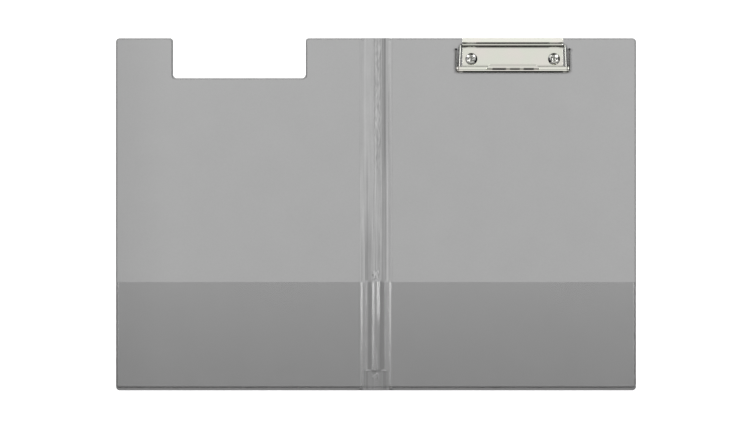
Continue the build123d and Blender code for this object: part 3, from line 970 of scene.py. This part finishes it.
mesh = bmesh.new()
bmesh.ops.create_grid(
    mesh,
    x_segments=1,
    y_segments=1,
    size=0.5,
    matrix=Matrix.Translation((clip_x, jaw_front_y + sheet / 2, (jaw_low_z + jaw_top_z) / 2))
    @ Matrix.Rotation(pi / 2, 4, "Y")
    @ Matrix.Diagonal((jaw_top_z - jaw_low_z, sheet, 1, 1)),
)
end = onward(mesh, mesh.faces[:], (jaw_half - jaw_corner, 0, 0))
bend = Vector((clip_x + jaw_half - jaw_corner, jaw_front_y + jaw_corner, 0))
end = turn(mesh, end, bend, pi / 2, 8)
end = onward(mesh, end, (0, flange_y - jaw_front_y - jaw_corner, 0))
end = onward(mesh, end, (0, ear_end_y - flange_y, 0))
for vertex in mesh.verts:
    if vertex.co.z > jaw_top_z - 0.1 * mm:
        share = max(vertex.co.y - flange_y, 0) / (ear_end_y - flange_y)
        outward = abs(vertex.co.x - clip_x) > jaw_half - sheet / 2
        vertex.co.z -= ear_drop * share + (ear_edge_out if outward else ear_edge_in)
        vertex.co.z -= 0 if vertex.co.y > flange_y - 0.1 * mm else wall_sunk
bmesh.ops.mirror(
    mesh,
    geom=mesh.verts[:] + mesh.edges[:] + mesh.faces[:],
    matrix=Matrix.Translation((-clip_x, 0, 0)),
    merge_dist=0.001 * mm,
    axis="X",
)
bmesh.ops.remove_doubles(mesh, verts=mesh.verts, dist=0.002 * mm)
bmesh.ops.recalc_face_normals(mesh, faces=mesh.faces)
jaw_wall = new_object(mesh, "jaw_wall", nickel)
mark_depth(jaw_wall, lambda x, y: wall_shade)
finish_metal(jaw_wall, 0.1 * mm)
as_jaw(jaw_wall)

eye_top_z = jaw_top_z - ear_drop
for side, sign in (("left", -1), ("right", 1)):
    middle = Vector((clip_x + sign * (jaw_half - sheet / 2), ear_end_y, 0))
    outline = [(0, jaw_low_z), (eye_radius, jaw_low_z)]
    outline += arc((0, eye_top_z), eye_radius, 0, 90, 10)
    eye = new_object(turned(outline, middle), f"jaw_eye_{side}", nickel)
    mark_depth(eye, lambda x, y: eye_shade)
    as_jaw(eye)

jaw_rim = 1.9 * mm
rear_rim = 0.45 * mm
groove_y = jaw_front_y + 2.75 * mm
groove_half = 0.65 * mm
groove_depth = 0.1 * mm
rim_sheet = 0.6 * mm  # the strip is drawn thinner here


def jaw_top_height(x, y):
    """Height of the jaw's top: rounded over at the front and the sides, dented in the middle."""
    to_side = jaw_half - abs(x - clip_x)
    to_front = y - jaw_front_y
    if to_side < jaw_corner and to_front < jaw_corner:
        inward = jaw_corner - hypot(jaw_corner - to_side, jaw_corner - to_front)
    else:
        inward = min(to_side, to_front)
    over = max(jaw_rim - inward, 0)
    z = jaw_top_z - jaw_rim + (max(jaw_rim**2 - over**2, 0)) ** 0.5
    over = max(rear_rim - (flange_y - y), 0)
    z -= rear_rim - (rear_rim**2 - over**2) ** 0.5
    grooved = 1 - ease(0.1 * mm, groove_half, abs(y - groove_y))
    return z - groove_depth * grooved * ease(1, 4, to_side / mm)


def jaw_shade(x, y):
    """Painted shade and painted reflection on the jaw: dark under its rounded front, in its groove and
    round its corners.
    """
    across = abs(x - clip_x)
    front = ease(jaw_front_y + 1.7 * mm, jaw_front_y + 1.3 * mm, y) * ease(46 * mm, 45 * mm, across)
    painted_dark = 0.3 * stripe(y, groove_y, 0.45 * mm) + 0.15 * stripe(y, flange_y - 0.9 * mm, 0.4 * mm)
    return min(painted_dark + 0.9 * front + 0.6 * ease(48 * mm, 50 * mm, across), 1)


columns = stations(
    (clip_x - jaw_half, clip_x - jaw_half + 3 * mm, 0.2 * mm),
    (clip_x - jaw_half + 3 * mm, clip_x + jaw_half - 3 * mm, 0.5 * mm),
    (clip_x + jaw_half - 3 * mm, clip_x + jaw_half, 0.2 * mm),
)
rows = stations(
    (jaw_front_y, jaw_front_y + 1.2 * mm, 0.1 * mm),
    (jaw_front_y + 1.2 * mm, flange_y, 0.15 * mm),
)
mesh = bmesh.new()
wide, tall = len(columns) - 1, len(rows) - 1
bmesh.ops.create_grid(mesh, x_segments=wide, y_segments=tall, size=0.5)
for vertex in mesh.verts:
    x = columns[round((vertex.co.x + 0.5) * wide)]
    y = rows[round((vertex.co.y + 0.5) * tall)]
    across = abs(x - clip_x) - (jaw_half - jaw_corner)
    down = jaw_front_y + jaw_corner - y
    if across > 0 and down > 0:
        share = max(across, down) / hypot(across, down)
        x = clip_x + (jaw_half - jaw_corner + across * share) * (1 if x > clip_x else -1)
        y = jaw_front_y + jaw_corner - down * share
    vertex.co = (x, y, jaw_top_height(x, y))
jaw_top = new_object(mesh, "jaw_top", nickel)
mark_depth(jaw_top, jaw_shade)
give_thickness(jaw_top, rim_sheet)
as_jaw(jaw_top)

tongue_half = 24.5 * mm
tongue_tip_y = 136.1 * mm
tongue_top_z = jaw_high.z - 0.12 * mm
tongue_foot_y = jaw_front_y + 2.5 * mm
tongue_step = 1.0 * mm  # it rises over this much of its depth
tongue_sunk = 0.15 * mm  # its foot lies this far inside the jaw's top
tongue_lift = 0.4 * mm  # the flat rises by this much up to the tip
tongue_corner = 1.8 * mm
tongue_taper = radians(55)
tongue_sheet = sheet * 0.8
# a painted highlight runs across the tongue's flat here
tongue_shine_y = tongue_tip_y - 3.8 * mm
slot_depth = 0.25 * mm
slots = (  # place across, half width and how dark, as painted shade
    (-12.4 * mm, 5.9 * mm, 1.0),
    (1.8 * mm, 4.3 * mm, 0.55),
    (14.3 * mm, 4.4 * mm, 1.0),
)


def tongue_slot(x, y):
    """Painted shade on the tongue: 1 in a pressed slot of its step, less elsewhere, with a painted
    highlight across its flat.
    """
    on_step = stripe(y, tongue_foot_y + 0.6 * tongue_step, 0.75 * mm, 0.3 * mm)
    dark = 0.3 + sum(shade * stripe(x - clip_x, middle, half) for middle, half, shade in slots)
    shade_and_shine = 0.2 + 0.12 * stripe(y, tongue_tip_y - 1.0 * mm, 0.5 * mm)
    shade_and_shine -= 0.15 * stripe(y, tongue_shine_y, 0.4 * mm)
    return shade_and_shine + (min(dark, 1) - shade_and_shine) * on_step


def tongue_height(y):
    """Height of the tongue's upper side: a steep step and then a long flat."""
    foot_z = jaw_top_z - tongue_sunk
    flat_z = tongue_top_z - tongue_lift
    step = ease(tongue_foot_y, tongue_foot_y + tongue_step, y)
    return foot_z + (flat_z - foot_z) * step + tongue_lift * ease(tongue_foot_y, tongue_tip_y, y)


rows = stations(
    (tongue_foot_y - 0.2 * mm, tongue_foot_y + tongue_step, 0.12 * mm),
    (tongue_foot_y + tongue_step, tongue_tip_y - tongue_corner, 0.5 * mm),
    (tongue_tip_y - tongue_corner, tongue_tip_y, 0.15 * mm),
)
mesh = bmesh.new()
wide, tall = round(2 * tongue_half / (0.5 * mm)), len(rows) - 1
bmesh.ops.create_grid(mesh, x_segments=wide, y_segments=tall, size=0.5)
for vertex in mesh.verts:
    y = rows[round((vertex.co.y + 0.5) * tall)]
    z = tongue_height(y)
    half = tongue_half - (y - tongue_foot_y) / tan(tongue_taper)
    drawn = max(tongue_corner - (tongue_tip_y - y), 0)
    half -= tongue_corner - (tongue_corner**2 - drawn**2) ** 0.5
    x = 2 * vertex.co.x * half
    vertex.co = (clip_x + x, y - slot_depth * tongue_slot(clip_x + x, y), z)
tongue = new_object(mesh, "jaw_tongue", nickel)
mark_depth(tongue, tongue_slot)
finish_metal(tongue, 0.2 * mm, tongue_sheet)
as_jaw(tongue)

barrel_radius = 1.7 * mm
barrel_length = 8.0 * mm
barrel_wall = 0.65 * mm
barrel_gap = 5.8 * mm  # from the wire's bend
barrel_x = corner_x - wire_bend - barrel_gap - barrel_length / 2
for side, sign in (("left", -1), ("right", 1)):
    mesh = bmesh.new()
    bmesh.ops.create_cone(
        mesh,
        cap_ends=False,
        segments=32,
        radius1=barrel_radius,
        radius2=barrel_radius,
        depth=barrel_length,
        matrix=Matrix.Translation((clip_x + sign * barrel_x, hook_y, hinge.z))
        @ Matrix.Rotation(pi / 2, 4, "Y"),
    )
    barrel = new_object(mesh, f"jaw_barrel_{side}", nickel)
    finish_metal(barrel, 0.12 * mm, barrel_wall)
    as_jaw(barrel)


# Paper guards: two small shoes of clear soft plastic, pushed on to the jaw's lower edge so that
# it doesn't mark the paper.
clear_plastic, shapes, wires, surface = new_material("clear_plastic")
place = shapes.new("ShaderNodeTexCoord").outputs["Object"]
wires.new(
    grey_colour(shapes, wires, mottled(shapes, wires, place, 2 * mm, 0.74, 0.86)),
    surface.inputs["Base Color"],
)
surface.inputs["Alpha"].default_value = 0.72
surface.inputs["Roughness"].default_value = 0.18
film_grain(shapes, wires, surface, place, 0.9 * mm, 0.03 * mm)
for side in ("left", "right"):
    guard = nodes[f"paper_guard_{side}"]
    guard.data.materials.clear()
    guard.data.materials.append(clear_plastic)
